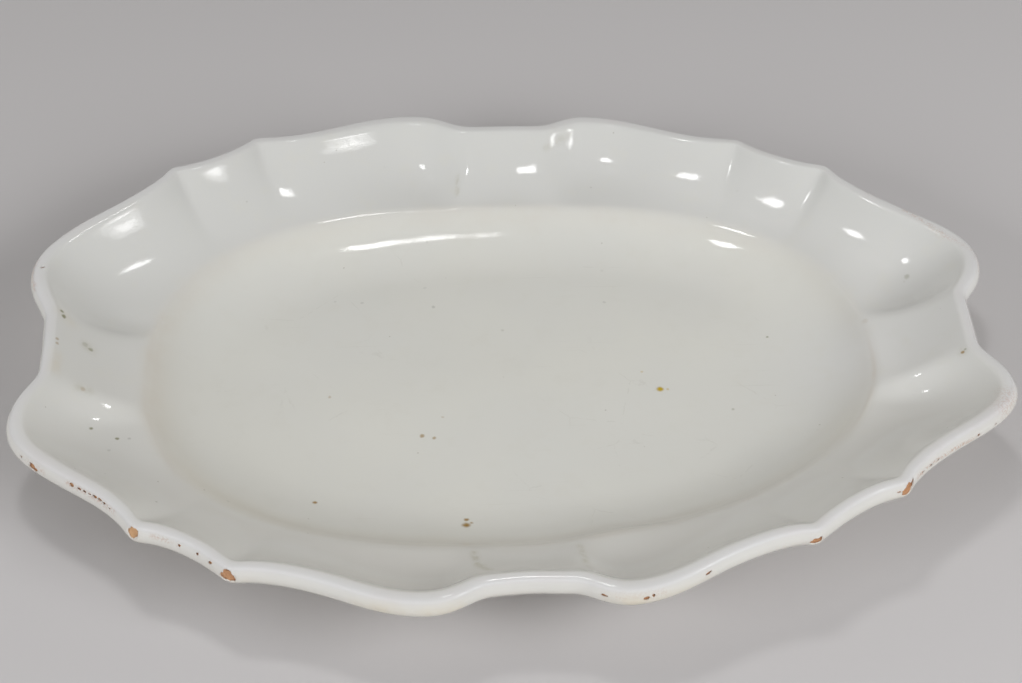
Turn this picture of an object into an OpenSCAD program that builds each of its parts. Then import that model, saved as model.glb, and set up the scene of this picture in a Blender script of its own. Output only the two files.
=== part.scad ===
// Scalloped oval serving platter of red earthenware under a white tin glaze.
// One pressed clay body carries three fused glaze coats: a thick one on the
// face, a thinner one on the back and a patch inside the wiped foot ring.
// +Z is up, +X runs along the length, and the foot stands on z = 0.

/* [Overall] */
// Length across the end lobes
platter_l = 374; // [330:1:430]
// Width across the side lobes
platter_w = 289; // [255:1:330]
// Height of the lip's crest at the middle of the two ends
rim_h = 35; // [30:0.5:42]
// Rise of the lip at the pointed corners, as a share of the drawn rise
point_rise = 1; // [0:0.1:1.5]
// Lift of one diagonal pair of corners and drop of the other, from the kiln
kiln_warp = 3.8; // [0:0.2:5]
// Sideways drift of the two side panels, a trace of the hand-cut mould
panel_drift = 2; // [0:0.5:4]

/* [Well] */
// Width of the rim from the shoulder to the outer edge at the panels
rim_w = 38; // [33:0.5:44]
// Height of the shoulder where the well meets the rim
shoulder_h = 19; // [15:0.5:23]
// Width of the curved wall between floor and shoulder
wall_w = 36; // [28:1:44]
// Height of the floor's upper face, which is the thickness of the base
floor_h = 6.5; // [5.5:0.5:9]

/* [Lip and foot] */
// Plan width of the rounded lip
lip_w = 5.5; // [4.5:0.5:7]
// Thickness of the rim wall, measured straight down
rim_t = 6.6; // [5.5:0.1:8]
// Width of the bare ring that the platter stands on
foot_w = 8; // [5:1:14]
// Depth of the hollow inside the foot ring
foot_hollow = 1.2; // [0.8:0.1:1.6]

/* [Glaze] */
// Thickness of the glaze on the face
face_t = 0.6; // [0.4:0.1:0.8]
// Thickness of the glaze on the back
back_t = 0.4; // [0.3:0.1:0.6]

/* [Hidden] */

// One quarter of the outer edge, from the middle of an end to the middle of a
// side: flat end panel, end lobe in two halves, short scallop between the two
// points, side lobe in two halves, flat side panel.
EDGE = [
  [[178, 0], [178, 5], [178, 10], [178, 14.5]],
  [[178, 14.5], [178.5, 21], [187, 28], [187, 41]],
  [[187, 41], [187, 66], [146.5, 78], [136, 102]],
  [[136, 102], [122, 104.5], [111, 113], [102, 124]],
  [[102, 124], [76, 124], [60, 144.5], [35.5, 144.5]],
  [[35.5, 144.5], [26, 144.5], [22, 137], [14, 137]],
  [[14, 137], [9, 137], [4.5, 137], [0, 137]]
];
// stations along each stretch
STEPS = [2, 4, 6, 4, 5, 2, 1];
// lip rise at the ends of the stretches
RISE = [0, 0, 1, 4, 3.5, 1.5, 1, 1];
// bearing of the shoulder point that each stretch end is drawn out from
BEARING = [0, 8, 14, 31, 44, 70, 79, 90];

kx = platter_l / 374;
ky = platter_w / 289;
sh_a = 178 * kx - rim_w;
sh_b = 137 * ky - rim_w;
fl_a = sh_a - wall_w;
fl_b = sh_b - wall_w;

function bez(p, t) = pow(1 - t, 3) * p[0] + 3 * pow(1 - t, 2) * t * p[1]
  + 3 * (1 - t) * t * t * p[2] + pow(t, 3) * p[3];
function ease(t) = t * t * (3 - 2 * t);
function mix(a, b, t) = a + (b - a) * t;
function unit(v) = v / max(norm(v), 1e-9);
// point of a superellipse at a bearing in degrees
function oval(a, b, n, q) = let (c = abs(cos(q)), s = abs(sin(q)),
  r = pow(pow(c / a, n) + pow(s / b, n), -1 / n)) [r * cos(q), r * sin(q)];

// station: outer edge point, lip rise, shoulder bearing
quarter = [for (s = [0:6]) for (k = [0:STEPS[s] - 1]) let (t = k / STEPS[s],
  p = bez(EDGE[s], t)) [p[0] * kx, p[1] * ky,
  mix(RISE[s], RISE[s + 1], ease(t)), mix(BEARING[s], BEARING[s + 1], t)]];
nq = len(quarter);
side = [0, 137 * ky, RISE[7], 90];
ring = concat(
  quarter,
  [side], [for (k = [nq - 1:-1:1]) let (q = quarter[k]) [-q[0], q[1], q[2], 180 - q[3]]],
  [for (q = quarter) [-q[0], -q[1], q[2], 180 + q[3]]],
  [[0, -side[1], side[2], 270]],
  [for (k = [nq - 1:-1:1]) let (q = quarter[k]) [q[0], -q[1], q[2], 360 - q[3]]]);
N = len(ring);

// plan points of a station: outer edge, shoulder, edge of the floor
function p_out(i) = [ring[i][0], ring[i][1]];
function p_sho(i) = oval(sh_a, sh_b, 2.5, ring[i][3]);
function p_flo(i) = oval(fl_a, fl_b, 2.5, ring[i][3]);
// unit vector outwards across the rim, and the lip's plan width along it
function across(i) = unit(p_out(i) - p_sho(i));
function edge_n(i) = let (a = p_out((i + N - 1) % N), b = p_out((i + 1) % N),
  t = unit(b - a)) [t[1], -t[0]];
function lip_run(i) = lip_w / max(0.75, across(i) * edge_n(i));
// inner edge of the lip and its height
function p_lip(i) = p_out(i) - across(i) * lip_run(i);
function z_lip(i) = rim_h - 0.7 + ring[i][2] * point_rise;

// kiln warp and panel drift, as a share f of their full amount at the lip
function placed(p, z, f) = [
  p[0] + panel_drift * exp(-pow(p[0] / 60, 2)) * f * (abs(p[1]) > 60 ? 1 : 0),
  p[1],
  z - kiln_warp * p[0] * p[1] / 13300 * min(1, 0.6 * f + 0.4 * f * f)];

// well wall at share w from floor to shoulder, rim at share v, lip at d out and h up
function z_wall(w) = floor_h + (shoulder_h - floor_h) * pow(w, 2.25);
function z_rim(i, v) = shoulder_h + (z_lip(i) - shoulder_h) * (0.66 * v + 0.34 * v * v);
function wall(i, w, drop) = placed(mix(p_flo(i), p_sho(i), w), z_wall(w) - drop, 0.6 * w);
function rim(i, v, drop) = placed(mix(p_sho(i), p_lip(i), v), z_rim(i, v) - drop, 0.6 + 0.4 * v);
function lip(i, d, h) = placed(p_lip(i) + across(i) * lip_run(i) * d / 5.5, z_lip(i) + h, 1);
function foot(i, w, inw, z) = let (p = mix(p_flo(i), p_sho(i), w)) concat(p - unit(p) * inw, [z]);

WALL = [0.2, 0.4, 0.58, 0.74, 0.87, 0.96];
RIM = [0.07, 0.25, 0.45, 0.65, 0.83, 1];
LIP = [[1, 0.55], [2.2, 0.6], [3.8, -0.4], [5, -1.9]];
NOSE = [[5.5, -3.4], [5, -5], [3.6, -6.3]];
BACK = [0.85, 0.6, 0.3, 0.02];
UNDER = [0.8, 0.6, 0.42];

// outer surface, row by row, from the floor over the lip and back to the foot
SKIN = concat(
  [[for (i = [0:N - 1]) wall(i, 0, 0)]],
  [for (w = WALL) [for (i = [0:N - 1]) wall(i, w, 0)]],
  [[for (i = [0:N - 1]) rim(i, 0, 0.3)]],
  [for (v = RIM) [for (i = [0:N - 1]) rim(i, v, 0)]],
  [for (q = LIP) [for (i = [0:N - 1]) lip(i, q[0], q[1])]],
  [for (q = NOSE) [for (i = [0:N - 1]) lip(i, q[0], q[1])]],
  [for (v = BACK) [for (i = [0:N - 1]) rim(i, v, rim_t)]],
  [for (w = UNDER) [for (i = [0:N - 1]) wall(i, w, mix(rim_t, rim_t + 0.8, w) * (floor_h / 6.5 * 0.3 + 0.7))]]);
J1 = 1 + len(WALL) + 1 + len(RIM) + len(LIP) - 1;
J2 = len(SKIN) - 1;

// outward normal of the outer surface at row j, station i
function nrm(j, i) = j == 0 ? [0, 0, 1] : let (
  a = SKIN[min(j + 1, J2)][i] - SKIN[j - 1][i],
  b = SKIN[j][(i + 1) % N] - SKIN[j][(i + N - 1) % N]) unit(cross(a, b));
// glaze thickness by row: thick on the face, thinning over the lip
function glaze_t(j) = j <= J1 - 4 ? face_t : j <= J1 ? mix(face_t, back_t, (j - J1 + 4) / 4) : back_t;
// clay surface under the glaze, then the bare foot
CLAY = [for (j = [0:J2]) [for (i = [0:N - 1]) SKIN[j][i] - glaze_t(j) * nrm(j, i)]];
FOOT = [
  [for (i = [0:N - 1]) foot(i, 0.4, 0.6, 0)],
  [for (i = [0:N - 1]) foot(i, 0.4, 0.6 + foot_w, 0)],
  [for (i = [0:N - 1]) foot(i, 0.4, 2.2 + foot_w, foot_hollow + back_t)]];
HOLLOW = [for (i = [0:N - 1]) foot(i, 0.4, 2.2 + foot_w, foot_hollow)];

// two triangles per cell between row a and row b of a grid
function strip(a, b, flip) = [for (i = [0:N - 1]) let (k = (i + 1) % N,
  p = a * N + i, q = a * N + k, r = b * N + i, s = b * N + k)
  each flip ? [[p, r, q], [q, r, s]] : [[p, q, r], [q, s, r]]];
// fan from the middle point h to row a, and that middle point
function cap(a, h, flip) = [for (i = [0:N - 1]) let (k = (i + 1) % N)
  flip ? [h, a * N + k, a * N + i] : [h, a * N + i, a * N + k]];
function hub(row) = [0, 0, row[0][2]];
function flat(rows) = [for (r = rows) each r];
function rows_of(g, a, b) = [for (j = [a:b]) g[j]];
function web(n0, n1, flip) = [for (j = [n0:n1 - 1]) each strip(j, j + 1, flip)];

// closed shell from one stack of rows, capped at both ends
module turned(rows) {
  n = len(rows);
  polyhedron(concat(flat(rows), [hub(rows[0]), hub(rows[n - 1])]), concat(web(0, n - 1, false),
    cap(0, n * N, true), cap(n - 1, n * N + 1, false)), convexity = 8);
}
// coat between an outer and an inner stack of rows, capped or open in the middle
module coat(outer, inner, capped) {
  n = len(outer);
  polyhedron(concat(flat(concat(outer, inner)), capped ? [hub(outer[0]), hub(inner[0])] : []), concat(
    web(0, n - 1, false), web(n, 2 * n - 1, true), strip(n - 1, 2 * n - 1, false),
    capped ? concat(cap(0, 2 * n * N, true), cap(n, 2 * n * N + 1, false)) : strip(0, n, true)), convexity = 8);
}

// Pressed red-clay body with floor, wall, rim, lip and foot ring
module clay_body() {
  color([0.78, 0.5, 0.36]) turned(concat(CLAY, FOOT));
}
// White glaze on the face, from the floor to the ridge of the lip
module face_glaze() {
  color([0.9, 0.9, 0.88]) coat(rows_of(SKIN, 0, J1), rows_of(CLAY, 0, J1), true);
}
// Thinner white glaze on the back, from the ridge of the lip to the foot
module back_glaze() {
  color([0.87, 0.85, 0.8]) coat(rows_of(SKIN, J1, J2), rows_of(CLAY, J1, J2), false);
}
// Glaze patch inside the wiped foot ring
module base_glaze() {
  color([0.86, 0.84, 0.79]) coat([FOOT[2]], [HOLLOW], true);
}

clay_body();
face_glaze();
back_glaze();
base_glaze();
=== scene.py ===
import math
import bpy
import bmesh
import numpy as np
from mathutils import Matrix, Vector, noise
from mathutils.bvhtree import BVHTree
from mathutils.kdtree import KDTree


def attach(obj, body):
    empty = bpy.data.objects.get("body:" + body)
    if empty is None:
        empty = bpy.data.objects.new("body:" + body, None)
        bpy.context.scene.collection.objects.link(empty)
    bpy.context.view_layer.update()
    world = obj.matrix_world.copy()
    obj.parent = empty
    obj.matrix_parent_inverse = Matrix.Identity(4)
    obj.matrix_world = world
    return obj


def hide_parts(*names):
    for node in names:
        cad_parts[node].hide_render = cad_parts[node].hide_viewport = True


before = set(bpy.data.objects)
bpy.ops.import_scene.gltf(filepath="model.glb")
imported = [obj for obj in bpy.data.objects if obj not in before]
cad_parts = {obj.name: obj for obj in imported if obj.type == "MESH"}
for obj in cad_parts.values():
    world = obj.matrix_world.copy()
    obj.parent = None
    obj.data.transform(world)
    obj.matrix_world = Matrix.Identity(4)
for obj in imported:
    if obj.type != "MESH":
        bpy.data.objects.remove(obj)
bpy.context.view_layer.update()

MM = 0.001

# ---------------------------------------------------------------- the form
# One quarter of the lip's outer edge in millimetres: end panel, end lobe in
# two halves, short scallop between the points, side lobe in two halves, side
# panel. Each quarter of the platter is drawn with its own small hand slips.
EDGE = [
    [(178, 0), (178, 5), (178, 10), (178, 14.5)],
    [(178, 14.5), (178.5, 21), (187, 28), (187, 41)],
    [(187, 41), (187, 66), (146.5, 78), (136, 102)],
    [(136, 102), (122, 104.5), (111, 113), (102, 124)],
    [(102, 124), (76, 124), (60, 144.5), (35.5, 144.5)],
    [(35.5, 144.5), (26, 144.5), (22, 137), (14, 137)],
    [(14, 137), (9, 137), (4.5, 137), (0, 137)],
]
RISE = [0, 0, 1, 4, 3.5, 1.5, 1, 1]
BEARING = [0, 8, 14, 31, 44, 70, 79, 90]
# Hand slips of the four quarters (right back, left back, left front, right
# front): how far the edge lies outside the drawn line, and along it.
SLIP_AT = [0, 1, 1.5, 2, 2.5, 3, 3.5, 4, 4.5, 5, 5.5, 6, 7]
SLIP_OUT = [
    [-0.5, 0, 2, 1, -1, 0, 0, -1, -1.5, -1.5, -1, -1, -1],
    [0, 1, 0, -0.5, 0, -0.5, 0, -0.5, -1.5, -2.5, -1, -1.5, -1],
    [0, 0, 0, -0.5, 0.5, 1, 1, 0.5, -1.5, -1, 0, -2, -2.5],
    [-0.5, -1, -1.5, -1.5, -1.5, -2, -2, -3, -3.5, -1, 1, -1, -2.5],
]
SLIP_ALONG = [
    [-1, -2, -2.5, -3.5, -2.5, -1.5, -1, -0.5, -0.5, 0.5, 0, -1, -2],
    [-0.5, 0, -0.5, -1, -1, 0, 1, 1.5, 1.5, -0.5, -2.5, -2, -2],
    [-0.5, -0.5, -0.5, 0.5, 1.5, 1, 0.5, 0.5, 1.5, 2.5, 2.5, 1, -1],
    [-1, -1, -0.5, -1, -1, 0, -0.5, -1, -2, -3.5, -3, -2.5, -1],
]
RIM_H, SHOULDER, FLOOR = 35.0, 19.0, 6.5
SH_A, SH_B, FL_A, FL_B = 140.0, 99.0, 107.0, 66.0
RIM_T, WARP, DRIFT = 6.6, 3.8, 2.0
FULL = [2.55, 2.5, 2.4, 2.0]
CREASE_LATE = [0.2, 0.0, 0.3, 0.2]
TROUGH, BOWL = ([3.4, 3.0, 1.8, 3.0], [0.5, 1.0, 0.6, 0.8]), (2.0, 3.0)
TROUGH_END = [0.42, 0.3, 0.28, 0.28]
FACE_T, BACK_T, FOOT_W, HOLLOW = 0.55, 0.4, 8.0, 1.2
STATIONS = 800


def oval(a, b, n, q):
    c, s = np.cos(q), np.sin(q)
    r = (np.abs(c / a) ** n + np.abs(s / b) ** n) ** (-1.0 / n)
    return np.column_stack([r * c, r * s])


def quarter(n=160):
    """Edge points, lip rise, shoulder bearing and stretch number along one quarter."""
    xy, rise, bear, run = [], [], [], []
    for k, p in enumerate(EDGE):
        p = np.array(p, float)
        t = (np.arange(n) / n)[:, None]
        xy.append((1 - t) ** 3 * p[0] + 3 * (1 - t) ** 2 * t * p[1] + 3 * (1 - t) * t * t * p[2] + t ** 3 * p[3])
        t = t[:, 0]
        rise.append(RISE[k] + (RISE[k + 1] - RISE[k]) * t * t * (3 - 2 * t))
        bear.append(BEARING[k] + (BEARING[k + 1] - BEARING[k]) * t)
        run.append(k + t)
    return [np.concatenate(a) for a in (xy, rise, bear, run)]


def whole_ring():
    p, z, b, r = quarter()
    end = np.array([[0.0, EDGE[-1][3][1]]])

    def back(a):
        return a[1:][::-1]

    return (
        np.concatenate([p, end, back(p) * [-1, 1], -p, -end, back(p) * [1, -1]]),
        np.concatenate([z, [RISE[-1]], back(z), z, [RISE[-1]], back(z)]),
        np.concatenate([b, [90], 180 - back(b), 180 + b, [270], 360 - back(b)]),
        np.concatenate([r, [7], back(r), r, [7], back(r)]),
    )


def stations(count, soft=1.9):
    """Stations around the edge, closer together where it turns."""
    P, Z, B, R = whole_ring()
    s = np.concatenate([[0], np.cumsum(np.linalg.norm(np.roll(P, -1, 0) - P, axis=1))])
    L, m = s[-1], 4000
    g = np.arange(m) * L / m
    k = np.fft.rfftfreq(m, L / m)

    def at(a, wrap=0.0):
        return np.interp(g, s, np.append(a, a[0] + wrap))

    def smooth(a, width):
        return np.fft.irfft(np.fft.rfft(a) * np.exp(-2 * (np.pi * k * width) ** 2), m)

    x, y, z = (smooth(at(a), soft) for a in (P[:, 0], P[:, 1], Z))
    ramp = 360.0 * g / L
    b = smooth(at(B, 360.0) - ramp, 3.0) + ramp
    r = at(R)
    part = np.minimum((4 * g / L).astype(int), 3)
    out = smooth(np.choose(part, [np.interp(r, SLIP_AT, a) for a in SLIP_OUT]), 4.0)
    along = smooth(np.choose(part, [np.interp(r, SLIP_AT, a) for a in SLIP_ALONG]), 6.0)
    tx, ty = np.gradient(smooth(x, 3.0)), np.gradient(smooth(y, 3.0))
    tl = np.hypot(tx, ty)
    x, y = x + (out * ty + along * tx) / tl, y + (along * ty - out * tx) / tl
    ang = np.unwrap(np.arctan2(np.gradient(y), np.gradient(x)))
    turn = smooth(np.abs(np.gradient(ang)) / (L / m), 3.0)
    dens = np.concatenate([[0], np.cumsum(1 + 14 * np.clip(turn, 0, 0.12))])
    gi = np.interp(np.arange(count), dens / dens[-1] * count, np.arange(m + 1) * L / m)

    def pick(a, wrap=0.0):
        return np.interp(gi, np.append(g, L), np.append(a, a[0] + wrap))

    return np.column_stack([pick(x), pick(y)]), pick(z), np.radians(pick(b, 360.0)), pick(r)


def spline(pts, n):
    """Smooth curve through points, n samples per span."""
    p = np.array(pts, float)
    p = np.vstack([2 * p[0] - p[1], p, 2 * p[-1] - p[-2]])
    out = []
    for i in range(1, len(p) - 2):
        t = (np.arange(n) / n)[:, None]
        a, b, c, d = p[i - 1], p[i], p[i + 1], p[i + 2]
        out.append(0.5 * (2 * b + (c - a) * t + (2 * a - 5 * b + 4 * c - d) * t ** 2 + (3 * b - a - 3 * c + d) * t ** 3))
    out.append(p[-2:-1])
    return np.vstack(out)


LIP = [(0, 0), (0.9, 0.6), (1.8, 0.82), (3.4, 0.86), (4.6, 0.7), (5.25, 0.25), (5.6, -0.3)]
NOSE = [(5.6, -0.3), (6.5, -2.0), (6.65, -4.1), (5.3, -6.2)]
LIP_AT = [0, 1, 2, 3, 4, 5, 6, 7]
LIP_W = [6.5, 6.8, 8, 6, 6, 8, 6.8, 6.5]


def step(a, b, x):
    t = np.clip((x - a) / (b - a), 0, 1)
    return t * t * (3 - 2 * t)


class Form:
    def __init__(s, count):
        s.N = count
        s.O, s.rise, s.bear, s.run = stations(count)
        # the well is a little fuller in some quarters than in others
        part = np.minimum((s.bear / (np.pi / 2)).astype(int), 3)
        full = np.array(FULL)[part]
        s.S = oval(SH_A, SH_B, full, s.bear)
        s.F = oval(FL_A, FL_B, full, s.bear)
        pinch = 1 - 0.025 * np.exp(-((np.degrees(s.bear) - 289) / 9) ** 2)
        s.S = s.S * pinch[:, None]
        a = s.O - s.S
        s.across = a / np.linalg.norm(a, axis=1)[:, None]
        t = np.roll(s.O, -1, 0) - np.roll(s.O, 1, 0)
        t /= np.linalg.norm(t, axis=1)[:, None]
        cosg = np.maximum(0.75, s.across[:, 0] * t[:, 1] - s.across[:, 1] * t[:, 0])
        ker = np.hanning(19)
        lip_w = np.interp(s.run, LIP_AT, LIP_W) / cosg
        s.lip_run = np.convolve(np.concatenate([lip_w[-9:], lip_w, lip_w[:9]]), ker / ker.sum(), "valid")
        s.E = s.O - s.across * s.lip_run[:, None]
        s.zl = RIM_H - 0.7 + s.rise
        # share across a lobe, from its panel crease (0) to the point (1)
        r = s.run
        late = np.array(CREASE_LATE)[part]
        end, side = (r <= 3), (r >= 4)
        q = np.where(end, (r - 1 - late) / (2 - late), np.where(side, (6 - r) / 2, -1.0))
        lobe = (q > 0) & (q < 1)
        q = np.clip(q, 0, 1)
        low = np.array(TROUGH_END)[part]
        trough = (1 - (1 - np.minimum(q / low, 1)) ** 2) * (1 - step(low, 0.8, q))
        bowl = np.sin(np.pi * q ** 0.8) ** 1.2
        s.trough = np.where(lobe, trough * np.where(end, np.array(TROUGH[0])[part], np.array(TROUGH[1])[part]), 0)
        s.bowl = np.where(lobe, bowl * np.where(end, BOWL[0], BOWL[1]), 0)
        ker = np.hanning(17)
        for a in (s.trough, s.bowl):
            a[:] = np.convolve(np.concatenate([a[-8:], a, a[:8]]), ker / ker.sum(), "valid")
        # the shoulder is rounded, most of all in front and at the left
        deg = np.degrees(s.bear)
        s.round = 3.2 - 1.2 * np.sin(s.bear) + 1.6 * np.exp(-((deg - 215) / 35) ** 2)
        s.wall_w = np.linalg.norm(s.S - s.F, axis=1)
        s.rim_w = np.linalg.norm(s.E - s.S, axis=1)
        # the rim in front is straighter, so it rolls into the lip more gently
        front = np.clip(-np.sin(s.bear), 0, 1)
        s.lean = 0.38 + 0.24 * front
        s.bowl = s.bowl * (1 - 0.1 * front)
        s.turn = (SHOULDER - FLOOR) * 2.6 / s.wall_w - (s.zl - SHOULDER) * s.lean / s.rim_w
        s.dish = np.where(r <= 1, 1 - r ** 2, np.where(r >= 6, 2 - 2 * (7 - r) ** 2, 0)) * 0.6

    def placed(s, p, z, f):
        x, y = p[:, 0], p[:, 1]
        drift = DRIFT * np.exp(-(x / 60) ** 2) * f * (np.abs(y) > 60)
        return np.column_stack([x + drift, y, z - WARP * x * y / 13300 * min(1, 0.6 * f + 0.4 * f * f)])

    def floor(s, k, z=FLOOR):
        return s.placed(s.F * k, np.full(s.N, z), 0)

    def eased(s, away):
        return s.turn * np.maximum(0, s.round - away) ** 2 / (4 * s.round)

    def wall(s, w, drop=0.0):
        z = FLOOR + (SHOULDER - FLOOR) * (0.8 * w ** 2 + 0.2 * w ** 5) - drop - s.eased(s.wall_w * (1 - w))
        return s.placed(s.F + (s.S - s.F) * w, np.full(s.N, z), 0.6 * w)

    def rim(s, v, drop=0.0):
        z = SHOULDER + (s.zl - SHOULDER) * (s.lean * v + (1 - s.lean) * v * v) - drop
        z = z - s.trough * 3.65 * v ** 0.8 * (1 - v) ** 1.1 - s.bowl * 8.3 * v ** 2 * (1 - v) ** 1.2
        z = z - s.dish * 4 * v * (1 - v) - s.eased(s.rim_w * v)
        return s.placed(s.S + (s.E - s.S) * v, z, 0.6 + 0.4 * v)

    def lip(s, d, h):
        return s.placed(s.E + s.across * (s.lip_run * d / 7.0)[:, None], s.zl + h, 1)

    def foot(s, inw, z):
        p = s.F + (s.S - s.F) * 0.4
        p = p - p / np.linalg.norm(p, axis=1)[:, None] * inw
        return np.column_stack([p, np.full(s.N, z)])


form = Form(STATIONS)


def face_rows():
    rows = [form.floor(k) for k in (0.02, 0.1, 0.25, 0.45, 0.65, 0.82, 0.93)]
    rows += [form.wall(w) for w in np.linspace(0, 0.82, 14)]
    rows += [form.wall(w) for w in (0.86, 0.89, 0.92, 0.94, 0.96, 0.98)]
    rows += [form.rim(v) for v in (0, 0.02, 0.04, 0.06, 0.085, 0.115)]
    rows += [form.rim(v) for v in np.linspace(0.15, 1, 23)[:-1]]
    rows += [form.lip(d, h) for d, h in spline(LIP, 3)]
    return np.array(rows)


def back_rows():
    rows = [form.lip(d, h) for d, h in spline(NOSE, 4)]
    rows += [form.rim(v, RIM_T) for v in np.linspace(0.88, 0.0, 14)]
    rows += [form.wall(w, RIM_T + 0.8 * w) for w in np.linspace(0.95, 0.42, 10)]
    return np.array(rows)


def wobble(g):
    """Slow unevenness of a hand-pressed, thickly glazed surface, in millimetres of height."""
    x, y = g[..., 0], g[..., 1]
    rng = np.random.default_rng(7)
    h = np.zeros(x.shape)
    for wave, amp in ((95, 0.16), (60, 0.12), (38, 0.07), (24, 0.04)):
        for _ in range(4):
            a, ph = rng.uniform(0, 2 * np.pi, 2)
            h += amp * 0.5 * np.sin(2 * np.pi * (x * np.cos(a) + y * np.sin(a)) / wave + ph)
    return h


def normals(g, flat_first=False):
    du = np.roll(g, -1, 1) - np.roll(g, 1, 1)
    dv = np.gradient(g, axis=0)
    n = np.cross(du, dv) * -1
    n = n / np.maximum(np.linalg.norm(n, axis=2), 1e-9)[..., None]
    if flat_first:
        n[:4] = (0, 0, 1)
    return n


face = face_rows()
back = back_rows()
JF, JB = len(face), len(back)
skin = np.concatenate([face, back[1:]])
skin[..., 2] += wobble(skin) * np.clip(skin[..., 2:3][..., 0] / 6.5, 0, 1)
nrm = normals(skin, True)
thick = np.full(len(skin), FACE_T)
thick[JF - 1:] = BACK_T
thick[JF - 9:JF] = np.linspace(FACE_T, BACK_T, 9)
clay = skin - nrm * thick[:, None, None]


# ---------------------------------------------------------------- meshes
def grid_faces(rows, n, flip=False):
    j, i = np.meshgrid(np.arange(rows - 1), np.arange(n), indexing="ij")
    k = (i + 1) % n
    q = np.stack([j * n + i, j * n + k, (j + 1) * n + k, (j + 1) * n + i], -1).reshape(-1, 4)
    return q[:, ::-1] if flip else q


def mesh_from(name, verts, quads, tris=()):
    me = bpy.data.meshes.new(name)
    quads = np.asarray(quads, np.int32)
    tris = np.asarray(tris, np.int32).reshape(-1, 3)
    me.vertices.add(len(verts))
    me.vertices.foreach_set("co", (np.asarray(verts) * MM).astype(np.float32).ravel())
    loops = np.concatenate([quads.ravel(), tris.ravel()])
    me.loops.add(len(loops))
    me.loops.foreach_set("vertex_index", loops)
    me.polygons.add(len(quads) + len(tris))
    starts = np.concatenate([np.arange(len(quads)) * 4, len(quads) * 4 + np.arange(len(tris)) * 3])
    me.polygons.foreach_set("loop_start", starts.astype(np.int32))
    me.update(calc_edges=True)
    me.validate()
    me.shade_smooth()
    me.set_sharp_from_angle(angle=math.radians(42))
    ob = bpy.data.objects.new(name, me)
    bpy.context.scene.collection.objects.link(ob)
    return ob


def fan(row, n, hub, flip=False):
    i = np.arange(n)
    t = np.stack([row * n + i, row * n + (i + 1) % n, np.full(n, hub)], -1)
    return t[:, ::-1] if flip else t


def coat(name, outer, inner, capped):
    """Closed coat between an outer and an inner stack of rows."""
    n = outer.shape[1]
    a, b = len(outer), len(inner)
    v = np.concatenate([outer.reshape(-1, 3), inner.reshape(-1, 3)])
    quads = [grid_faces(a, n, True), grid_faces(b, n) + a * n]
    i = np.arange(n)
    k = (i + 1) % n
    o, p = (a - 1) * n, (a + b - 1) * n
    quads.append(np.stack([o + i, o + k, p + k, p + i], -1)[:, ::-1])
    tris = []
    if capped:
        v = np.concatenate([v, [outer[0].mean(0)], [inner[0].mean(0)]])
        tris = np.concatenate([fan(0, n, len(v) - 2), fan(a, n, len(v) - 1, True)])
    else:
        quads.append(np.stack([i, k, a * n + k, a * n + i], -1))
    return mesh_from(name, v, np.concatenate(quads), tris)


keep = np.array(sorted(set([0, 2, 5] + list(range(7, 21, 3)) + [22, 24, 26, 27, 29, 31] + list(range(33, 55, 3)) + list(range(55, JF, 2)) + [JF - 1])))
face_coat = coat("face_coat", skin[:JF], clay[:JF][keep], True)
back_keep = np.array(sorted(set(list(range(0, 14)) + list(range(14, JB, 2)) + [JB - 1]))) + JF - 1
back_coat = coat("back_coat", skin[JF - 1:], clay[back_keep], False)

body_rows = np.concatenate([
    clay[:JF][keep], clay[back_keep[1:]],
    [form.foot(0.3, 0.35), form.foot(0.6, 0.08), form.foot(1.2, 0.0), form.foot(4.0, 0.0), form.foot(FOOT_W, 0.0),
     form.foot(FOOT_W + 0.7, 0.12), form.foot(FOOT_W + 1.6, HOLLOW + BACK_T)],
    [form.foot(FOOT_W + 1.6, HOLLOW + BACK_T) * [k, k, 1] for k in (0.7, 0.35, 0.03)]])
n = STATIONS
v = np.concatenate([body_rows.reshape(-1, 3), [body_rows[0].mean(0)], [body_rows[-1].mean(0)]])
clay_core = mesh_from("clay_core", v, grid_faces(len(body_rows), n, True),
                      np.concatenate([fan(0, n, len(v) - 2), fan(len(body_rows) - 1, n, len(v) - 1, True)]))

hollow = np.array([form.foot(FOOT_W + 1.6 + e, HOLLOW + d) for e, d in ((0.0, BACK_T), (0.1, 0.12), (0.5, 0.0))]
                  + [form.foot(FOOT_W + 2.1, HOLLOW) * [k, k, 1] for k in (0.85, 0.6, 0.35, 0.03)])
top = np.array([form.foot(FOOT_W + 1.6, HOLLOW + BACK_T) * [k, k, 1] for k in (1, 0.7, 0.35, 0.03)])
outer, inner = hollow[::-1], top[::-1]
base_coat = coat("base_coat", inner, outer, True)

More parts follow.
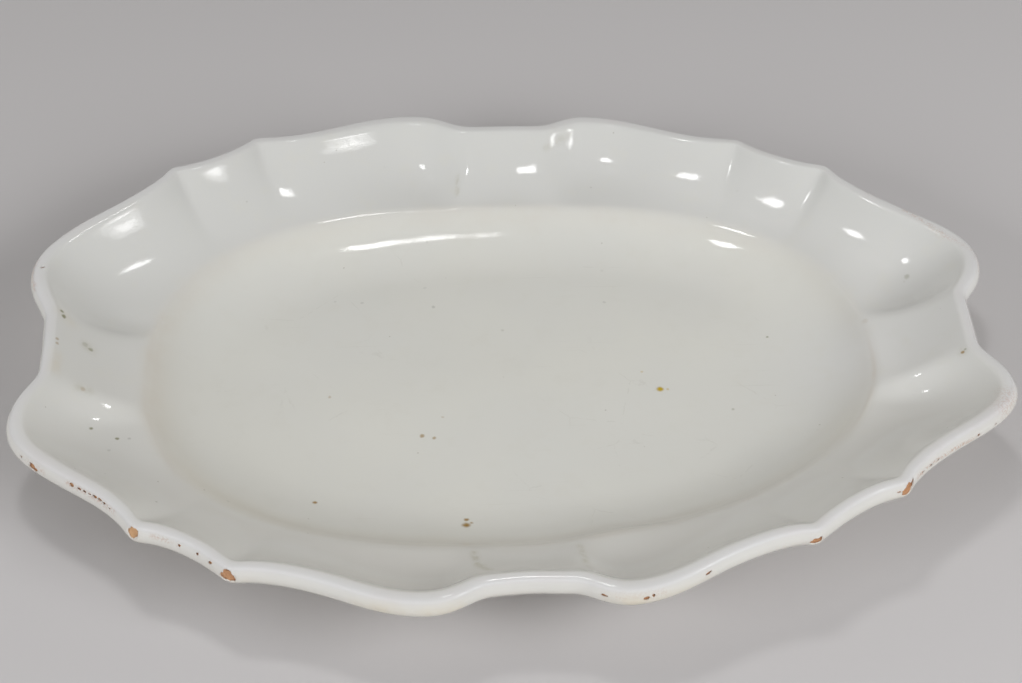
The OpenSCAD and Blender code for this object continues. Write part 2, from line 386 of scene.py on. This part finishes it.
# ---------------------------------------------------------------- chips
# Places along the lip where the glaze is knocked off, in millimetres: x, y, z,
# length along the edge, width across it, turn in degrees, number of flakes.
CHIPS = [
    (-135.5, -102.5, 33.0, 4.4, 3.6, 10, 1), (-102.0, -124.0, 32.0, 7.0, 4.2, 0, 6),
    (99.5, -122.0, 37.5, 5.2, 3.7, 15, 5), (134.0, -99.5, 40.0, 5.8, 3.0, 25, 3),
    (135.6, -96.6, 40.5, 2.8, 1.0, 40, 1), (130.5, -100.5, 40.0, 1.6, 0.5, 0, 1),
    (-174.0, -64.5, 30.5, 3.3, 2.1, 0, 2), (-178.5, -59.0, 30.7, 1.0, 0.6, 0, 1),
    (-158.5, -76.5, 32.5, 1.7, 1.1, 0, 1), (-155.5, -79.0, 32.8, 1.6, 0.6, 0, 1), (-153.5, -80.5, 33.0, 1.5, 0.5, 0, 1),
    (-151.5, -82.2, 33.2, 1.3, 0.4, 0, 1), (-149.5, -83.8, 33.5, 1.6, 0.7, 0, 1), (-147.5, -85.5, 33.6, 1.7, 0.7, 0, 1),
    (-146.0, -87.5, 33.6, 1.4, 0.6, 0, 1), (-144.0, -90.0, 33.5, 1.0, 0.3, 0, 1),
    (-107.5, -117.5, 33.0, 1.5, 0.8, 20, 1), (-112.0, -113.5, 33.3, 0.9, 0.8, 0, 1), (-118.5, -109.0, 33.2, 1.0, 0.7, 0, 1),
    (25.0, -140.0, 34.5, 2.0, 0.7, 0, 1), (39.0, -142.5, 35.0, 1.8, 0.9, 10, 1), (41.5, -142.0, 35.7, 0.9, 0.9, 0, 1),
    (60.5, -134.0, 37.3, 2.0, 0.6, 10, 1), (141.0, -90.5, 39.7, 1.3, 0.4, 0, 1), (144.5, -87.0, 39.4, 1.4, 0.5, 0, 1),
    (147.5, -84.0, 39.1, 1.0, 0.4, 0, 1), (165.0, -70.0, 37.5, 1.2, 0.7, 0, 1), (172.5, -63.5, 36.7, 0.8, 0.5, 0, 1),
    (184.0, -49.0, 35.0, 0.9, 0.7, 0, 1), (-186.0, -38.5, 31.0, 1.0, 0.6, 0, 1), (-181.5, 42.0, 37.0, 1.6, 0.8, 0, 1),
    (-97.0, 123.5, 40.0, 2.2, 0.9, 0, 2), (60.0, 141.0, 37.0, 1.5, 0.6, 0, 1), (150.0, 84.0, 36.0, 1.8, 0.8, 0, 2),
]


def chip_cutter():
    """All the flakes as one lumpy solid."""
    n, rows = STATIONS, len(skin)
    tree = BVHTree.FromPolygons([Vector(c) for c in skin.reshape(-1, 3)], [tuple(q) for q in grid_faces(rows, n, True).tolist()])
    rng = np.random.default_rng(11)
    bm = bmesh.new()
    for x, y, z, long, wide, turn, flakes in CHIPS:
        at, nor, _, _ = tree.find_nearest(Vector((x, y, z)))
        nor = nor.normalized()
        u = Vector((0, 0, 1)).cross(nor).normalized()
        u = Matrix.Rotation(math.radians(turn), 3, nor) @ u
        v = nor.cross(u)
        for k in range(flakes):
            f = (k + 0.5) / flakes - 0.5
            a = 0.68 * long * (1 if flakes == 1 else 1.9 / flakes + 0.08 * rng.uniform(-1, 1))
            b = 0.68 * wide * (1 if flakes == 1 else rng.uniform(0.62, 0.95))
            c = min(1.25, 0.72 + 0.22 * wide) * (1 if flakes == 1 else rng.uniform(0.85, 1.05))
            mid = at + u * (f * long * 0.8) + v * (0 if flakes == 1 else rng.uniform(-0.22, 0.22) * wide)
            seed = Vector(rng.uniform(0, 60, 3))
            made = bmesh.ops.create_icosphere(bm, subdivisions=3, radius=1)["verts"]
            for w in made:
                d = w.co.copy()
                r = 1 + 0.32 * noise.noise(d * 1.3 + seed) + 0.24 * noise.noise(d * 3.1 + seed)
                w.co = (mid + (u * (d.x * a) + v * (d.y * b) + nor * (d.z * c)) * r) * MM
    me = bpy.data.meshes.new("cutter")
    bm.to_mesh(me)
    bm.free()
    ob = bpy.data.objects.new("cutter", me)
    bpy.context.scene.collection.objects.link(ob)
    mod = ob.modifiers.new("fuse", "REMESH")
    mod.mode = "VOXEL"
    mod.voxel_size = 0.16 * MM
    fused = bpy.data.meshes.new_from_object(ob.evaluated_get(bpy.context.evaluated_depsgraph_get()))
    ob.modifiers.clear()
    ob.data = fused
    for w in fused.vertices:
        q = w.co / MM
        w.co += Vector([0.09 * noise.noise(q * 1.1 + Vector((k * 17.0, 5, 2))) + 0.05 * noise.noise(q * 2.7 + Vector((k * 31.0, 1, 9))) for k in range(3)]) * MM
    return ob


def knock_off(pieces, cutter):
    for ob in pieces:
        mod = ob.modifiers.new("chips", "BOOLEAN")
        mod.operation = "DIFFERENCE"
        mod.solver = "EXACT"
        mod.object = cutter
    dg = bpy.context.evaluated_depsgraph_get()
    made = [bpy.data.meshes.new_from_object(ob.evaluated_get(dg)) for ob in pieces]
    for ob, me in zip(pieces, made):
        ob.modifiers.clear()
        old, ob.data = ob.data, me
        bpy.data.meshes.remove(old)
        me.name = ob.name
        me.shade_smooth()
        me.set_sharp_from_angle(angle=math.radians(42))
    bpy.data.objects.remove(cutter)


knock_off((face_coat, back_coat, clay_core), chip_cutter())

# ---------------------------------------------------------------- wear
# Stains along lines, in millimetres: points, reach across, strength.
DIRT = [
    ([(-162.5, 6, 28), (-160.5, 5, 26.5)], 2.0, 0.35), ([(-163, -18.5, 28), (-159, -18.5, 26)], 2.0, 0.3), ([(169.5, -19.5, 34)], 1.8, 0.4),
    ([(-17.5, -104, 20), (-16.5, -114, 24), (-12.5, -123, 30)], 1.3, 0.6), ([(19.5, -104, 21), (20.5, -113, 24.5), (21, -121, 29)], 1.3, 0.45),
    ([(-17.5, 115, 24), (-18, 106, 21)], 0.7, 0.4),
    ([(-120, -112, 31), (-108, -120, 30)], 2.0, 0.18), ([(30, 130, 33), (20, 125, 30)], 1.6, 0.25), ([(176, 14, 31)], 1.8, 0.35),
]
RED = [
    ([(138.5, -93, 40), (145, -86.5, 39.5), (155, -77.5, 38.5), (164.5, -71, 37.5)], 0.7, 1.0), ([(177, -57, 37.5), (180, -50, 37)], 4.5, 0.4),
    ([(-160, -75.5, 32.5), (-152, -82, 33), (-142, -92, 33.5)], 0.9, 0.6), ([(-128, -104.5, 33.5), (-122, -107, 33.3)], 0.9, 0.45),
    ([(-176, -62, 30.5), (-170, -68, 31)], 1.2, 0.4), ([(30, -141.5, 35), (45, -141, 36)], 1.4, 0.25), ([(92, -124, 37), (104, -120, 38)], 1.6, 0.25),
    ([(-184, 31, 36.3), (-185.6, 38, 36.3), (-185.4, 43, 36.6), (-184, 48, 37.5)], 1.2, 0.8),
    ([(186.5, 30, 31.8), (186.9, 36, 32), (185, 43, 32.6), (177.5, 51.5, 33.2), (163, 69.5, 34.2)], 1.1, 0.45), ([(178, 12, 33.3), (178, 0, 34), (177.5, -14, 34.6)], 1.1, 0.7),
]
CREAM = [
    ([(-171, -6, 34), (-170.7, -15, 33.7)], 2.6, 0.6), ([(-172, 18, 35), (-168, 14, 32)], 3.0, 0.35),
    ([(-60, -139, 31), (-38, -144, 31), (-24, -141, 31)], 3.0, 0.9), ([(26, -142, 33), (44, -144, 33), (62, -136, 34)], 3.0, 1.0),
    ([(70, -132, 34.5), (100, -122, 35)], 2.2, 0.5), ([(128, -103, 37), (150, -84, 36)], 2.2, 0.6), ([(-110, -118, 30), (-80, -130, 30)], 2.2, 0.4),
]


def near_lines(co, lines):
    out = np.zeros(len(co))
    for pts, reach, gain in lines:
        pts = np.array(pts, float)
        best = np.full(len(co), 1e9)
        for a, b in zip(pts, pts[1:] if len(pts) > 1 else pts):
            ab = b - a
            t = np.clip(((co - a) @ ab) / max(ab @ ab, 1e-9), 0, 1)
            best = np.minimum(best, np.linalg.norm(co - a - t[:, None] * ab, axis=1))
        out = np.maximum(out, gain * np.exp(-(best / reach) ** 2))
    return out


def wear(ob):
    """Stains, tints and painted light and shade of a glaze coat, kept as point attributes."""
    me = ob.data
    co = np.empty(len(me.vertices) * 3, np.float32)
    me.vertices.foreach_get("co", co)
    co = co.reshape(-1, 3).astype(float) / MM
    q = np.mod(np.arctan2(co[:, 1], co[:, 0]), 2 * np.pi)
    deg = np.degrees(q)
    full = np.array(FULL)[np.minimum((q / (np.pi / 2)).astype(int), 3)]
    off = np.hypot(co[:, 0], co[:, 1]) - np.linalg.norm(oval(SH_A, SH_B, full, q), axis=1)

    def about(mid, half):
        return np.exp(-(((deg - mid + 180) % 360 - 180) / half) ** 2)

    band = 0.3 + 0.55 * about(178, 22) + 0.25 * about(92, 40) + 0.2 * about(300, 30)
    warm = band * (np.exp(-((off + 2.5) / 4.5) ** 2) * 0.7 + 0.3 * np.exp(-(off / 1.2) ** 2))
    warm = np.maximum(warm, 0.9 * about(352, 12) * np.exp(-((off + 0.3) / 1.1) ** 2))
    chips = near_lines(co, [([c[:3]], 0.9 + 0.5 * c[4], 0.35 if c[4] > 1.5 else 0.2) for c in CHIPS])
    tree = KDTree(skin.shape[0] * skin.shape[1])
    for k, c in enumerate(skin.reshape(-1, 3)):
        tree.insert(c, k)
    tree.balance()
    row = np.array([tree.find(c)[1] // STATIONS for c in co])
    under = np.clip((row - (JF + 4)) / 10.0, 0, 1)
    lip = np.exp(-((row - (JF - 7)) / 7.0) ** 2)
    well = step(4.0, -5.0, off)
    aft = step(-70, 70, co[:, 1])
    # painted shade: the front wall of the well gets a darker, warmer white
    painted_bank_shade = well * step(8, 14, co[:, 2]) * (1 - aft)
    # painted light: the end panel and wall at the right get a lighter white
    pale = step(80, 140, co[:, 0]) * np.exp(-((co[:, 1] - 2) / 26) ** 2)
    marks = {"pale": pale, "well": well, "aft": aft, "painted_bank_shade": painted_bank_shade, "warm": warm, "dirt": near_lines(co, DIRT), "red": np.maximum(near_lines(co, RED), chips),
             "cream": np.maximum(near_lines(co, CREAM), 0.5 * under), "under": under, "lip": lip}
    for name, val in marks.items():
        at = me.attributes.new(name, "FLOAT", "POINT")
        at.data.foreach_set("value", np.asarray(val, np.float32))


for ob in (face_coat, back_coat):
    wear(ob)


def bared(ob):
    """How deep the bare clay of a chip lies below the glaze, as a point attribute in millimetres."""
    me = ob.data
    tree = BVHTree.FromPolygons([Vector(c) for c in skin.reshape(-1, 3)], [tuple(q) for q in grid_faces(len(skin), STATIONS, True).tolist()])
    co = np.empty(len(me.vertices) * 3, np.float32)
    me.vertices.foreach_get("co", co)
    co = co.reshape(-1, 3).astype(float) / MM
    val = np.full(len(co), 2.0, np.float32)
    for k in np.nonzero(near_lines(co, [([c[:3]], 2.0 + c[3], 1.0) for c in CHIPS]) > 0.05)[0]:
        val[k] = tree.find_nearest(Vector(co[k]))[3]
    me.attributes.new("deep", "FLOAT", "POINT").data.foreach_set("value", val)


bared(clay_core)


# ---------------------------------------------------------------- materials
class Net:
    """Short way to wire shader nodes."""

    def __init__(s, name):
        s.mat = bpy.data.materials.new(name)
        s.mat.use_nodes = True
        s.t = s.mat.node_tree
        s.bsdf = s.t.nodes["Principled BSDF"]
        s.obj = s.t.nodes.new("ShaderNodeTexCoord").outputs["Object"]

    def put(s, node, at, val):
        if isinstance(val, bpy.types.NodeSocket):
            s.t.links.new(val, node.inputs[at])
        elif val is not None:
            node.inputs[at].default_value = val

    def math(s, op, a, b=None, c=None, clamp=False):
        n = s.t.nodes.new("ShaderNodeMath")
        n.operation, n.use_clamp = op, clamp
        for k, val in enumerate((a, b, c)):
            s.put(n, k, val)
        return n.outputs[0]

    def vec(s, op, a, b=None, scale=None):
        n = s.t.nodes.new("ShaderNodeVectorMath")
        n.operation = op
        s.put(n, 0, a)
        s.put(n, 1, b)
        s.put(n, "Scale", scale)
        return n.outputs["Value" if op in ("DISTANCE", "DOT_PRODUCT", "LENGTH") else "Vector"]

    def noise(s, scale, detail=2.0, rough=0.5, co=None, out="Fac"):
        n = s.t.nodes.new("ShaderNodeTexNoise")
        s.put(n, "Vector", co or s.obj)
        s.put(n, "Scale", scale)
        s.put(n, "Detail", detail)
        s.put(n, "Roughness", rough)
        return n.outputs[out]

    def cells(s, scale, feature="F1", co=None, random=1.0):
        n = s.t.nodes.new("ShaderNodeTexVoronoi")
        n.feature = feature
        s.put(n, "Vector", co or s.obj)
        s.put(n, "Scale", scale)
        s.put(n, "Randomness", random)
        return n

    def ramp(s, x, a, b, lo=0.0, hi=1.0):
        n = s.t.nodes.new("ShaderNodeMapRange")
        n.interpolation_type = "SMOOTHSTEP"
        for k, val in enumerate((x, a, b, lo, hi)):
            s.put(n, k, val)
        return n.outputs[0]

    def mix(s, fac, a, b):
        n = s.t.nodes.new("ShaderNodeMix")
        n.data_type = "RGBA"
        s.put(n, 0, fac)
        s.put(n, 6, a if isinstance(a, bpy.types.NodeSocket) else (*a, 1))
        s.put(n, 7, b if isinstance(b, bpy.types.NodeSocket) else (*b, 1))
        return n.outputs[2]

    def mark(s, name):
        n = s.t.nodes.new("ShaderNodeAttribute")
        n.attribute_name = name
        return n.outputs["Fac"]

    def bump(s, height, dist, strength=1.0, normal=None):
        n = s.t.nodes.new("ShaderNodeBump")
        s.put(n, "Height", height)
        s.put(n, "Distance", dist)
        s.put(n, "Strength", strength)
        s.put(n, "Normal", normal)
        return n.outputs[0]


# Spots on the floor of the well, in millimetres: x, y, radius, strength, kind.
SPOTS = [
    (-19.7, -77.8, 2.0, 1.0, 0), (-19.4, -74.4, 1.1, 0.9, 0), (-17.6, -76.4, 0.9, 0.75, 0), (-74.6, -62.7, 1.15, 0.9, 0),
    (-34.9, -27.8, 1.1, 0.65, 0), (-30.4, -29.1, 0.95, 0.6, 0), (-26.8, -17.4, 0.7, 0.3, 0), (-70.1, -4.0, 0.8, 0.35, 0),
    (57.6, -4.8, 1.6, 1.0, 1), (60.6, -4.9, 0.8, 0.45, 1), (51.5, 5.6, 0.7, 0.35, 1), (103.2, 25.0, 0.8, 0.7, 2), (84.5, -17.7, 0.8, 0.35, 2),
    (-29.4, 49.6, 1.0, 0.4, 3), (-58.1, 53.1, 0.9, 0.28, 3), (-69.1, 54.3, 0.8, 0.22, 3), (-32.5, 62.1, 0.9, 0.22, 3), (40.0, 49.5, 0.9, 0.28, 3),
]
# The same on the rim: x, y, z, radius, strength, kind.
RIM_SPOTS = [
    (-171.6, 18.4, 34.9, 1.1, 0.75, 2), (-170.9, 16.0, 34.2, 1.2, 0.85, 2), (-171.9, 1.8, 34.7, 0.9, 0.5, 0), (-171.7, -0.6, 34.6, 0.9, 0.45, 0),
    (-162.6, 6.2, 27.9, 1.5, 0.3, 2), (-160.4, 4.8, 26.5, 1.1, 0.6, 2), (-161.1, -18.6, 26.9, 1.2, 0.3, 0), (-157.4, -33.8, 20.4, 0.9, 0.85, 2),
    (-147.6, -37.8, 18.7, 1.0, 0.85, 2), (-143.2, -37.7, 18.4, 0.8, 0.45, 3), (-149.8, -45.2, 19.6, 0.8, 0.35, 3), (161.0, 43.4, 20.3, 1.5, 0.35, 2),
    (159.5, 41.2, 20.2, 1.0, 0.3, 2), (169.2, -20.0, 34.1, 0.9, 0.8, 0), (170.6, -19.3, 34.5, 0.8, 0.75, 2), (140.2, 18.6, 18.4, 1.7, 0.12, 0),
]
KINDS = [(0.34, 0.2, 0.04), (0.52, 0.36, 0.02), (0.24, 0.24, 0.13), (0.36, 0.36, 0.33)]


def glaze(name, white, front, rear, cool):
    """White in the well, a little darker and greyer on the rim in front and behind, which is painted shade."""
    g = Net(name)
    wavy = g.vec("ADD", g.obj, g.vec("SCALE", g.vec("SUBTRACT", g.noise(420, 2, 0.6, out="Color"), (0.5, 0.5, 0.5)), scale=0.0011))
    slow = g.noise(14, 3, 0.55)
    # the darker whites of the rim in front and behind are painted shade
    col = g.mix(g.mark("well"), g.mix(g.mark("aft"), front, rear), white)
    # painted shade: a darker, warmer white on the front wall of the well
    col = g.mix(g.mark("painted_bank_shade"), col, tuple(c * k for c, k in zip(white, (0.925, 0.90, 0.865))))
    # painted light: a lighter, more neutral white at the right end
    col = g.mix(g.mark("pale"), col, (0.752, 0.750, 0.734))
    col = g.mix(g.ramp(slow, 0.3, 0.7, 0, 0.45), col, cool)
    mott = g.noise(95, 3, 0.6)
    col = g.mix(g.ramp(mott, 0.5, 0.75, 0, 0.35), col, tuple(c * k for c, k in zip(white, (0.955, 0.95, 0.94))))
    # thin glaze on the shoulder and lip lets the warm clay through
    patch = g.ramp(g.noise(60, 4, 0.6), 0.35, 0.65, 0.45, 1.0)
    col = g.mix(g.math("MULTIPLY", g.mark("warm"), g.math("MULTIPLY", patch, 0.4)), col, (0.62, 0.53, 0.43))
    # the lip is a lighter, cooler white than the rim
    col = g.mix(g.math("MULTIPLY", g.mark("lip"), 0.85), col, (0.735, 0.733, 0.738))
    col = g.mix(g.math("MULTIPLY", g.mark("lip"), g.ramp(g.noise(45, 3, 0.6), 0.45, 0.7, 0.0, 0.3)), col, (0.72, 0.67, 0.665))
    col = g.mix(g.math("MULTIPLY", g.mark("cream"), g.ramp(g.noise(80, 3, 0.6), 0.35, 0.65, 0.25, 0.62)), col, (0.68, 0.60, 0.45))
    # knife scratches and hairlines in the well
    lines = None
    for turn, scale, gate in ((0.5, 1.0, 0.0), (2.0, 1.3, 9.0), (-0.7, 0.8, 21.0)):
        n = g.t.nodes.new("ShaderNodeMapping")
        n.inputs["Rotation"].default_value = (0, 0, turn)
        n.inputs["Scale"].default_value = (26 * scale, 900 * scale, 1)
        n.inputs["Location"].default_value = (gate, gate * 2, 0)
        g.t.links.new(g.obj, n.inputs["Vector"])
        one = g.ramp(g.noise(1.0, 1, 0.5, n.outputs[0]), 0.73, 0.8)
        lines = one if lines is None else g.math("MAXIMUM", lines, one)
    craze = g.cells(38, "DISTANCE_TO_EDGE", wavy)
    hair = g.ramp(craze.outputs["Distance"], 0.004, 0.012, 1, 0)
    some = g.math("MULTIPLY", g.ramp(g.noise(33, 2, 0.5), 0.54, 0.66), g.ramp(g.noise(240, 2, 0.5), 0.45, 0.58))
    part = g.t.nodes.new("ShaderNodeSeparateXYZ")
    g.t.links.new(g.obj, part.inputs[0])
    well = g.ramp(part.outputs[2], 0.008, 0.011, 1, 0.15)
    fine = g.math("MULTIPLY", g.math("MAXIMUM", g.math("MULTIPLY", lines, 0.6), g.math("MULTIPLY", hair, some)), well)
    col = g.mix(g.math("MULTIPLY", fine, 0.12), col, (0.40, 0.38, 0.32))
    # faint soft dots and small sharp pits, scattered
    dot = g.cells(68, co=wavy)
    pick = g.t.nodes.new("ShaderNodeSeparateColor")
    g.t.links.new(dot.outputs["Color"], pick.inputs[0])
    few = g.ramp(pick.outputs[0], 0.62, 0.95)
    soft_dot = g.math("MULTIPLY", g.ramp(dot.outputs["Distance"], 0.02, 0.075, 1, 0), few)
    col = g.mix(g.math("MULTIPLY", soft_dot, 0.32), col, (0.34, 0.33, 0.28))
    pit = g.cells(190, co=wavy)
    pick2 = g.t.nodes.new("ShaderNodeSeparateColor")
    g.t.links.new(pit.outputs["Color"], pick2.inputs[0])
    rare = g.ramp(pick2.outputs[1], 0.9, 0.97)
    pits = g.math("MULTIPLY", g.ramp(pit.outputs["Distance"], 0.03, 0.09, 1, 0), rare)
    col = g.mix(g.math("MULTIPLY", pits, 0.42), col, (0.26, 0.22, 0.17))
    # grime held in the creases, and glaze rubbed through to red
    grime = g.math("MULTIPLY", g.mark("dirt"), g.ramp(g.noise(300, 3, 0.6), 0.35, 0.6, 0.25, 1.0))
    col = g.mix(g.math("MULTIPLY", grime, 0.62), col, (0.32, 0.28, 0.13))
    rub = g.math("MULTIPLY", g.mark("red"), g.ramp(g.noise(1300, 3, 0.65), 0.42, 0.62))
    col = g.mix(g.math("MULTIPLY", rub, 0.82), col, (0.46, 0.235, 0.14))
    for kind, tint in enumerate(KINDS):
        total = None
        for x, y, z, r, gain, k in [(x, y, 6.6 if y > -60 else 7.2, *rest) for x, y, *rest in SPOTS] + RIM_SPOTS:
            if k == kind:
                d = g.vec("DISTANCE", wavy, (x * MM, y * MM, z * MM))
                one = g.ramp(d, r * MM * 0.35, r * MM * 1.15, gain, 0)
                total = one if total is None else g.math("MAXIMUM", total, one)
        col = g.mix(total, col, tint)
    g.put(g.bsdf, "Base Color", col)
    dull = g.math("MULTIPLY_ADD", g.noise(30, 3, 0.6), 0.06, 0.045)
    dull = g.math("ADD", dull, g.math("MULTIPLY", fine, 0.1))
    dull = g.math("ADD", dull, g.math("MULTIPLY", g.math("MAXIMUM", g.math("MULTIPLY", grime, 0.12), rub), 0.4), clamp=True)
    g.put(g.bsdf, "Roughness", dull)
    peel = g.bump(g.noise(110, 2, 0.5), 0.00005, 1.0)
    nick = g.bump(g.math("SUBTRACT", g.noise(900, 2, 0.5), g.math("ADD", g.math("MULTIPLY", pits, 6.0), g.math("MULTIPLY", fine, 1.5))), 0.000006, 1.0, peel)
    g.put(g.bsdf, "Normal", nick)
    return g.mat


def fired_clay(name):
    g = Net(name)
    col = g.mix(g.ramp(g.noise(70, 4, 0.65), 0.35, 0.68), (0.60, 0.345, 0.19), (0.50, 0.26, 0.135))
    grain = g.noise(1500, 3, 0.7)
    col = g.mix(g.ramp(grain, 0.52, 0.72, 0, 0.6), col, (0.67, 0.44, 0.28))
    dark = g.cells(900)
    col = g.mix(g.ramp(dark.outputs["Distance"], 0.1, 0.28, 0.5, 0), col, (0.30, 0.13, 0.07))
    pale = g.ramp(g.vec("DISTANCE", g.obj, (-0.1355, -0.1025, 0.033)), 0.002, 0.006, 1, 0)
    col = g.mix(g.math("MULTIPLY", pale, 0.75), col, (0.66, 0.42, 0.235))
    grey = g.ramp(g.noise(45, 4, 0.6), 0.55, 0.78, 0, 0.35)
    col = g.mix(grey, col, (0.36, 0.22, 0.15))
    # dirt held where the clay meets the broken glaze
    col = g.mix(g.math("MULTIPLY", g.ramp(g.mark("deep"), 0.55, 0.8, 0.75, 0), g.ramp(g.noise(500, 3, 0.6), 0.38, 0.62, 0.1, 1.0)), col, (0.17, 0.07, 0.035))
    g.put(g.bsdf, "Base Color", col)
    g.put(g.bsdf, "Roughness", g.ramp(grain, 0.3, 0.7, 0.78, 0.95))
    g.put(g.bsdf, "Normal", g.bump(g.math("ADD", grain, g.noise(400, 3, 0.6)), 0.00009, 1.0))
    return g.mat


m_face = glaze("white_tin_glaze", (0.746, 0.742, 0.692), (0.710, 0.700, 0.662), (0.694, 0.694, 0.673), (0.712, 0.714, 0.688))
m_back = glaze("thin_back_glaze", (0.735, 0.722, 0.672), (0.722, 0.710, 0.668), (0.712, 0.706, 0.672), (0.715, 0.708, 0.672))
m_clay = fired_clay("red_clay")

for ob, node, mat, slot in ((face_coat, "face_glaze", m_face, "face_glaze"), (back_coat, "back_glaze", m_back, "back_glaze"),
                            (base_coat, "base_glaze", m_back, "back_glaze"), (clay_core, "clay_body", m_clay, "clay")):
    ob.data.materials.clear()
    ob.data.materials.append(mat)
    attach(ob, "root")
    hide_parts(node)

# ---------------------------------------------------------------- stage
me = bpy.data.meshes.new("floor")
me.from_pydata([(-2.5, -2.5, 0), (2.5, -2.5, 0), (2.5, 2.5, 0), (-2.5, 2.5, 0)], [], [(0, 1, 2, 3)])
floor = bpy.data.objects.new("floor", me)
bpy.context.scene.collection.objects.link(floor)
ground = Net("pale_floor")
ground.bsdf.inputs["Base Color"].default_value = (0.622, 0.606, 0.610, 1)
ground.bsdf.inputs["Roughness"].default_value = 0.95
ground.bsdf.inputs["Specular IOR Level"].default_value = 0.0
floor.data.materials.append(ground.mat)


def area(name, az, el, dist, size, power, aim=(0, 0, 0.02), tint=(1, 1, 1), size_y=None):
    d = bpy.data.lights.new(name, "AREA")
    d.shape = "RECTANGLE"
    d.size, d.size_y = size, size_y or size
    d.energy = power
    d.color = tint
    o = bpy.data.objects.new(name, d)
    a, e = math.radians(az), math.radians(el)
    p = Vector(aim) + dist * Vector((math.cos(e) * math.cos(a), math.cos(e) * math.sin(a), math.sin(e)))
    o.matrix_world = Matrix.Translation(p) @ (Vector(aim) - p).to_track_quat("-Z", "Y").to_matrix().to_4x4()
    bpy.context.scene.collection.objects.link(o)
    return o


def soft(*args, **kw):
    """A lamp that lights the surfaces but is too diffuse to be mirrored in the glaze."""
    o = area(*args, **kw)
    o.visible_glossy = False
    return o


soft("front_right", -50, 28, 1.8, 0.7, 12)
soft("right", -30, 35, 1.8, 0.7, 9.5)
soft("front_left", -140, 25, 1.8, 0.7, 12.5)
soft("overhead", 123, 77, 2.2, 0.34, 6)


def glint(o):
    """A lamp that is only seen mirrored in the glaze."""
    o.visible_diffuse = False
    o.visible_camera = False
    return o


glint(area("window", -32, 45, 2.0, 0.42, 3.2 * math.pi * 0.42 * 0.3, size_y=0.3))
glint(area("window_core", -32, 45, 1.99, 0.26, 6.5 * math.pi * 0.26 * 0.16, size_y=0.16))
glint(area("top_lamp", 0, 90, 0.34, 0.03, 16 * math.pi * 0.03 ** 2, aim=(-0.012, 0.068, 0.02)))
w = bpy.data.worlds.new("studio")
bpy.context.scene.world = w
w.use_nodes = True
wt = w.node_tree
wbg = wt.nodes["Background"]
wco = wt.nodes.new("ShaderNodeTexCoord")
wsum = None
for axis, glow in (((0, 1, 0), (0.44, 0.415, 0.38)), ((-1, 0, 0), (0.345, 0.35, 0.355))):
    d = wt.nodes.new("ShaderNodeVectorMath")
    d.operation = "DOT_PRODUCT"
    d.inputs[1].default_value = axis
    wt.links.new(wco.outputs["Generated"], d.inputs[0])
    g = wt.nodes.new("ShaderNodeMath")
    g.operation = "MAXIMUM"
    g.inputs[1].default_value = 0
    wt.links.new(d.outputs["Value"], g.inputs[0])
    k = wt.nodes.new("ShaderNodeVectorMath")
    k.operation = "SCALE"
    k.inputs[0].default_value = glow
    wt.links.new(g.outputs[0], k.inputs["Scale"])
    if wsum:
        both = wt.nodes.new("ShaderNodeVectorMath")
        wt.links.new(wsum.outputs[0], both.inputs[0])
        wt.links.new(k.outputs[0], both.inputs[1])
        k = both
    wsum = k
wt.links.new(wsum.outputs[0], wbg.inputs[0])
wbg.inputs[1].default_value = 1
bpy.context.scene.view_settings.view_transform = "Standard"

# ---------------------------------------------------------------- camera
cam = bpy.data.cameras.new("camera")
cam.sensor_width = 36.0
cam.sensor_fit = "HORIZONTAL"
cam.lens = 36.0 * 2283 / 1022
cam.clip_start = 0.01
co = bpy.data.objects.new("camera", cam)
yaw = math.radians(-2.51)
dist, el = 0.868, math.radians(40)
eye = Matrix.Rotation(yaw, 3, "Z") @ Vector((0, -0.0034 - dist * math.cos(el), dist * math.sin(el)))
co.location = eye + Vector((0, 0, 0.0315))
co.rotation_euler = (math.radians(50), 0, yaw)
bpy.context.scene.collection.objects.link(co)
bpy.context.scene.camera = co
